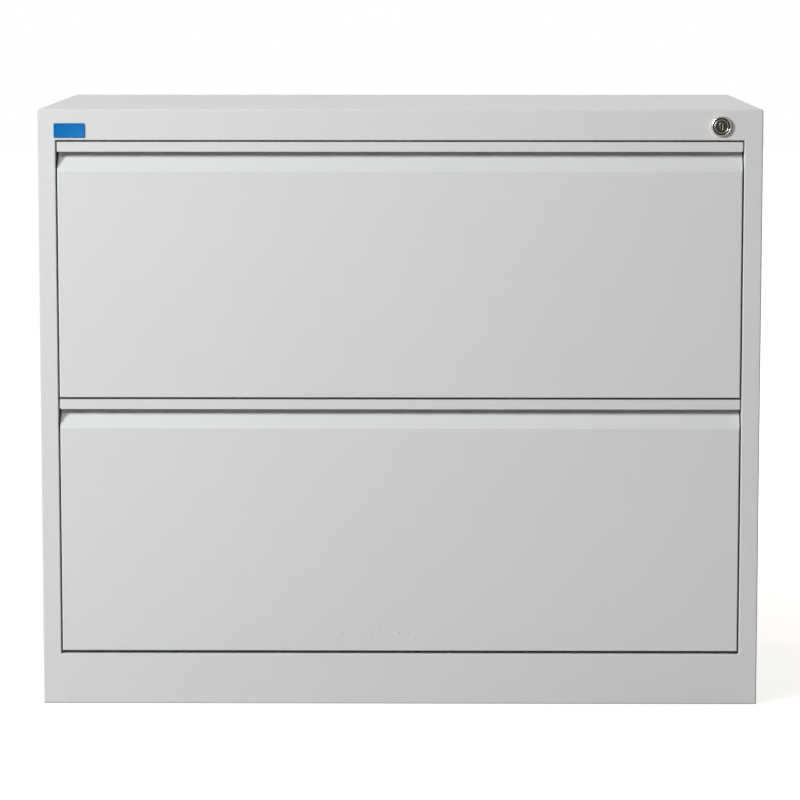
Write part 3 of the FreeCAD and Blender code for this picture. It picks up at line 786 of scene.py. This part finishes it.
def makePlate(size):
    mesh = bmesh.new()
    x0, z0 = size["centre"]
    rings = []
    for inset, proud in size["rows"]:
        width, height = size["width"] - 2 * inset, size["height"] - 2 * inset
        outline = roundedRectangle(width, height, size["corner"], size["cornerSteps"])
        rings.append([mesh.verts.new((x0 + x, frontPlane - proud, z0 + z)) for x, z in outline])
    bridgeRings(mesh, rings)
    mesh.faces.new(rings[-1])
    mesh.faces.new(rings[0][::-1])
    bmesh.ops.recalc_face_normals(mesh, faces=mesh.faces)
    finishMesh("blankPlate", mesh, plainFinish["plateBlue"], "cabinet")


makePlate(plateSize)
print("blank plate made")


# blind rivets: domed heads with the dimple that the broken-off pin leaves
rivetSize = {
    "profile": (  # out from the sheet, and radius
        (0.0, 0.0),
        (0.0, 0.0034),
        (0.00035, 0.0034),
        (0.0008, 0.0026),
        (0.00095, 0.0015),
        (0.0009, 0.0009),
        (0.0005, 0.0008),
        (0.0005, 0.0),
    ),
    "steps": 20,
    "alongSlide": (-0.18, -0.06, 0.06, 0.175),  # front to back
    "fromBarEnd": 0.012,
    "wallThick": 0.0009,
    "barThick": 0.002,
}


def makeRivets(drawer, size):
    mesh = bmesh.new()
    for hand in hands:
        wallSide, inward = outerSide(f"{drawer}_tray_wall_{hand}", hand)
        face = wallSide + inward * size["wallThick"]
        level = boxMiddle(f"slide_inner_{drawer}_{hand}")[2]
        spots = [(face, y, level) for y in size["alongSlide"]]
        for end, corner, way in (("front", 0, 1), ("rear", 1, -1)):
            bar = f"{drawer}_file_bar_{end}"
            barFace = outerSide(bar, hand)[0] + inward * size["barThick"]
            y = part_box(bar)[corner][1] + way * size["fromBarEnd"]
            spots.append((barFace, y, boxMiddle(bar)[2]))
        for spot in spots:
            addTurned(mesh, size["profile"], spot, (inward, 0, 0), size["steps"])
    finishMesh(f"{drawer}Rivets", mesh, brightZinc, f"{drawer}_drawer")


# steel balls that stand out of their cages, above and below each middle slide member
ballSize = {
    "radius": 0.00205,
    "pitch": 0.0079,
    "outer": {"level": 0.0188, "fromUpright": 0.0071, "rear": 0.183, "count": 20},
    "inner": {"level": 0.0132, "fromUpright": 0.0085, "rear": -0.037, "count": 20},
    "uprightToWeb": 0.002,
}


def makeBalls(drawer, hand, size):
    mesh = bmesh.new()
    member = f"slide_middle_{drawer}_{hand}"
    web, inward = outerSide(member, hand)
    upright = web - inward * size["uprightToWeb"]
    middle = boxMiddle(member)[2]
    for row in (size["outer"], size["inner"]):
        x = upright + inward * row["fromUpright"]
        for side in (-1, 1):
            z = middle + side * row["level"]
            for ball in range(row["count"]):
                spot = Matrix.Translation((x, row["rear"] - ball * size["pitch"], z))
                radius = size["radius"]
                bmesh.ops.create_icosphere(mesh, subdivisions=2, radius=radius, matrix=spot)
    body = f"middle_slide_{drawer}_{hand}"
    finishMesh(f"balls_{drawer}_{hand}", mesh, slideZinc, body, smoothAngle=180)


# jam nut on each levelling screw, with chamfered corners
nutSize = {
    "corners": 6,
    "toCorner": 0.0098,
    "chamfer": 0.0009,
    "bore": 0.0051,
    "tall": 0.0055,
    "gap": 0.0004,  # below the channel
}


def makeFootNut(end, hand, size):
    mesh = bmesh.new()
    foot = f"levelling_foot_{end}_{hand}"
    middle = boxMiddle(foot)
    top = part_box(f"foot_channel_{hand}")[0][2] - size["gap"]
    bottom = top - size["tall"]
    wide, chamfer = size["toCorner"], size["chamfer"]
    rows = (
        (bottom, wide - chamfer),
        (bottom + chamfer, wide),
        (top - chamfer, wide),
        (top, wide - chamfer),
        (top, size["bore"]),
        (bottom, size["bore"]),
    )
    rings = []
    for z, radius in rows:
        ring = []
        for corner in range(size["corners"]):
            angle = 2 * math.pi * corner / size["corners"]
            x = middle[0] + radius * math.cos(angle)
            y = middle[1] + radius * math.sin(angle)
            ring.append(mesh.verts.new((x, y, z)))
        rings.append(ring)
    bridgeRings(mesh, rings, closed=True)
    bmesh.ops.recalc_face_normals(mesh, faces=mesh.faces)
    finishMesh(f"footNut_{end}_{hand}", mesh, brightZinc, foot, smoothAngle=25)


# turned rings of the lock's face: rounded flange, groove, rounded inner ring, and the barrel
# behind them
ringSize = {
    "profile": (  # back from the face, and radius
        (0.00040, 0.00775),
        (0.00012, 0.00788),
        (0.00000, 0.00806),
        (0.00000, 0.00838),
        (0.00010, 0.00858),
        (0.00035, 0.00874),
        (0.00080, 0.00884),
        (0.00150, 0.00888),
        (0.00160, 0.00902),
        (0.00160, 0.01035),
        (0.00150, 0.01050),
        (0.00060, 0.01055),
        (0.00022, 0.01070),
        (0.00005, 0.01095),
        (0.00000, 0.01125),
        (0.00012, 0.01165),
        (0.00045, 0.01210),
        (0.00095, 0.01250),
        (0.00170, 0.01282),
        (0.00260, 0.01297),
    ),
    "flange": 0.0130,
    "proud": 0.0040,
    "barrel": 0.0096,
    "steps": 72,
}


def makeLockRings(size):
    mesh = bmesh.new()
    proud, barrel = size["proud"], size["barrel"]
    bore = size["profile"][0][1]
    deep = lockHigh[1] - lockLow[1]
    behind = ((proud, size["flange"]), (proud, barrel), (deep, barrel), (deep, bore))
    addTurned(mesh, size["profile"] + behind, lockCentre, (0, 1, 0), size["steps"], closed=True)
    bmesh.ops.recalc_face_normals(mesh, faces=mesh.faces)
    rings = finishMesh("lockRings", mesh, lockNickel, "cabinet")
    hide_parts("lock_housing")


# bevelled guide round the keyway, which leads the key in
guideSize = {
    "rows": (  # width, height, corner radius, and out from the plug
        (0.0044, 0.0098, 0.0021, 0.0),
        (0.0043, 0.0097, 0.0020, 0.00022),
        (0.0040, 0.0095, 0.0019, 0.00032),
        (0.0036, 0.0093, 0.0017, 0.00032),
        (0.0022, 0.0090, 0.0010, 0.00005),
        (0.0021, 0.0090, 0.0010, 0.0),
    ),
    "cornerSteps": 6,
}


def makeKeyGuide(size):
    mesh = bmesh.new()
    x0, z0 = lockCentre.x, lockCentre.z
    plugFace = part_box("lock_plug")[0][1]
    rings = []
    for width, height, corner, proud in size["rows"]:
        outline = roundedRectangle(width, height, corner, size["cornerSteps"])
        rings.append([mesh.verts.new((x0 + x, plugFace - proud, z0 + z)) for x, z in outline])
    bridgeRings(mesh, rings, closed=True)
    bmesh.ops.recalc_face_normals(mesh, faces=mesh.faces)
    finishMesh("keyGuide", mesh, plainFinish["guideSteel"], "lock_cylinder", smoothAngle=20)


# brass wafers deep in the keyway, in a brass darkened to paint the keyway's shade
waferSize = {
    "first": 0.0042,  # back from the plug's face
    "pitch": 0.0013,
    "thick": 0.0005,
    "wide": 0.0014,
    "tall": 0.0026,
    "bevel": 0.00008,
    "levels": (0.0016, -0.0012, 0.0008, -0.0019),  # one for each wafer
}


def makeWafers(size):
    mesh = bmesh.new()
    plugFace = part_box("lock_plug")[0][1]
    middle = boxMiddle("lock_plug")
    thick = size["thick"]
    for place, level in enumerate(size["levels"]):
        y = plugFace + size["first"] + place * size["pitch"] + thick / 2
        spot = Matrix.Translation((middle[0], y, middle[2] + level))
        scale = Matrix.Diagonal((size["wide"], thick, size["tall"], 1))
        bmesh.ops.create_cube(mesh, size=1, matrix=spot @ scale)
    longEdges = [edge for edge in mesh.edges if edge.calc_length() > thick * 2]
    bmesh.ops.bevel(mesh, geom=longEdges, offset=size["bevel"], segments=1, affect="EDGES")
    finishMesh("lockWafers", mesh, plainFinish["shadedWaferBrass"], "lock_cylinder")


for drawerName in ("lower", "upper"):
    makeRivets(drawerName, rivetSize)
    for handName in hands:
        makeBalls(drawerName, handName, ballSize)
for endName in ("front", "rear"):
    for handName in hands:
        makeFootNut(endName, handName, nutSize)
makeLockRings(ringSize)
makeKeyGuide(guideSize)
makeWafers(waferSize)
print("rivets, balls, nuts, lock rings, key guide and wafers made")


# floor that looks white to the camera and keeps the cabinet's shadow
stagePlan = {
    "reach": 12.0,
    "colour": (0.42, 0.395, 0.36),
    "roughness": 0.9,
    "cloud": {"scale": 2.0, "detail": 2.0, "roughness": 0.5},
    "cloudShade": 0.985,
    "nearGlow": 0.70,  # beside the cabinet, where its shadow lies
    "farGlow": 1.0,
    "shadowReach": (0.55, 1.5),
    "underGlow": 0.06,  # below the cabinet, where no light gets in
    "underSoft": 0.01,
}


def makeFloor(plan):
    mesh = bmesh.new()
    reach = plan["reach"]
    corners = ((-reach, -reach), (reach, -reach), (reach, reach), (-reach, reach))
    mesh.faces.new([mesh.verts.new((x, y, 0)) for x, y in corners])
    data = bpy.data.meshes.new("floor")
    mesh.to_mesh(data)
    mesh.free()
    floor = bpy.data.objects.new("floor", data)
    scene.collection.objects.link(floor)
    material, tree, shader, place = startMaterial("floorPaper", plan["roughness"])
    light = plan["colour"] + (1,)
    shade = tuple(c * plan["cloudShade"] for c in plan["colour"]) + (1,)
    cloud = addNoise(tree, place, **plan["cloud"])
    tree.links.new(mixColour(tree, cloud, shade, light), shader.inputs["Base Color"])
    away = addVector(tree, "LENGTH", place)
    around = addRange(tree, away, *plan["shadowReach"], plan["nearGlow"], plan["farGlow"])
    parts = splitVector(tree, place)
    beside = addMath(tree, "SUBTRACT", addMath(tree, "ABSOLUTE", parts["X"]), caseHigh[0])
    before = addMath(tree, "SUBTRACT", addMath(tree, "ABSOLUTE", parts["Y"]), -frontPlane)
    outside = addMath(tree, "MAXIMUM", beside, before)
    under = addRange(tree, outside, -plan["underSoft"], 0.0, plan["underGlow"], 1.0)
    seen = addNode(tree, "ShaderNodeLightPath").outputs["Is Camera Ray"]
    glow = addMath(tree, "MULTIPLY", seen, addMath(tree, "MULTIPLY", around, under))
    shader.inputs["Emission Color"].default_value = (1, 1, 1, 1)
    tree.links.new(glow, shader.inputs["Emission Strength"])
    data.materials.append(material)


makeFloor(stagePlan)
print("floor laid")


# soft studio light: a far key and a high one at the left, a weak lamp at the right, a weak
# warm one overhead, and two behind that polished metal doesn't reflect
lampAim = (0, -0.2, 0.42)
lampPlan = {
    "farKey": {
        "place": (-4.4, -3.4, 2.7),
        "size": (0.9, 1.3),
        "power": 330.0,
        "colour": (0.985, 0.99, 1.0),
        "reflected": True,
    },
    "highKey": {
        "place": (-1.9, -3.2, 2.8),
        "size": (1.4, 1.4),
        "power": 66.0,
        "colour": (0.96, 0.975, 1.0),
        "reflected": True,
    },
    "right": {
        "place": (3.6, -3.4, 2.3),
        "size": (0.9, 1.3),
        "power": 2.0,
        "colour": (1.0, 0.98, 0.96),
        "reflected": True,
    },
    "overhead": {
        "place": (0.0, 0.1, 3.0),
        "size": (2.4, 1.8),
        "power": 7.4,
        "colour": (1.0, 0.88, 0.79),
        "reflected": True,
    },
    "rearRight": {
        "place": (3.2, 1.9, 2.0),
        "size": (1.8, 1.8),
        "power": 80.0,
        "colour": (1.0, 0.98, 0.97),
        "reflected": False,
    },
    "rearLeft": {
        "place": (-2.2, 3.1, 1.6),
        "size": (1.8, 1.8),
        "power": 52.0,
        "colour": (1.0, 0.98, 0.97),
        "reflected": False,
    },
}


def makeLamp(name, plan):
    data = bpy.data.lights.new(name, "AREA")
    data.shape = "RECTANGLE"
    data.size, data.size_y = plan["size"]
    data.energy = plan["power"]
    data.color = plan["colour"]
    lamp = bpy.data.objects.new(name, data)
    lamp.location = plan["place"]
    way = Vector(lampAim) - Vector(plan["place"])
    lamp.rotation_euler = way.to_track_quat("-Z", "Y").to_euler()
    lamp.visible_camera = False
    lamp.visible_glossy = plan["reflected"]
    scene.collection.objects.link(lamp)


for lampName, lampValues in lampPlan.items():
    makeLamp(lampName, lampValues)


# the backdrop behind the cabinet is white, the room in front of it is dimmer
skyPlan = {
    "room": 0.28,  # what metal reflects from the room in front and beside
    "roomEdge": (0.2, 0.8),  # from the room to the backdrop
    "roomLight": 0.02,
    "backdropLight": 0.42,
    "lightEdge": (0.0, 0.6),
}


def makeSky(plan):
    world = bpy.data.worlds.new("studio")
    world.use_nodes = True
    scene.world = world
    tree = world.node_tree
    background = tree.nodes["Background"]
    path = addNode(tree, "ShaderNodeLightPath").outputs
    back = splitVector(tree, addNode(tree, "ShaderNodeTexCoord").outputs["Generated"])["Y"]
    mirrored = addRange(tree, back, *plan["roomEdge"], plan["room"], 1.0)
    mirrored = addMath(tree, "MULTIPLY", mirrored, path["Is Glossy Ray"])
    lit = addRange(tree, back, *plan["lightEdge"], plan["roomLight"], plan["backdropLight"])
    seen = addMath(tree, "MAXIMUM", path["Is Camera Ray"], path["Is Transmission Ray"])
    level = addMath(tree, "MAXIMUM", seen, mirrored, lit)
    background.inputs["Color"].default_value = (1, 1, 1, 1)
    tree.links.new(level, background.inputs["Strength"])


makeSky(skyPlan)
print("lamps and backdrop set")
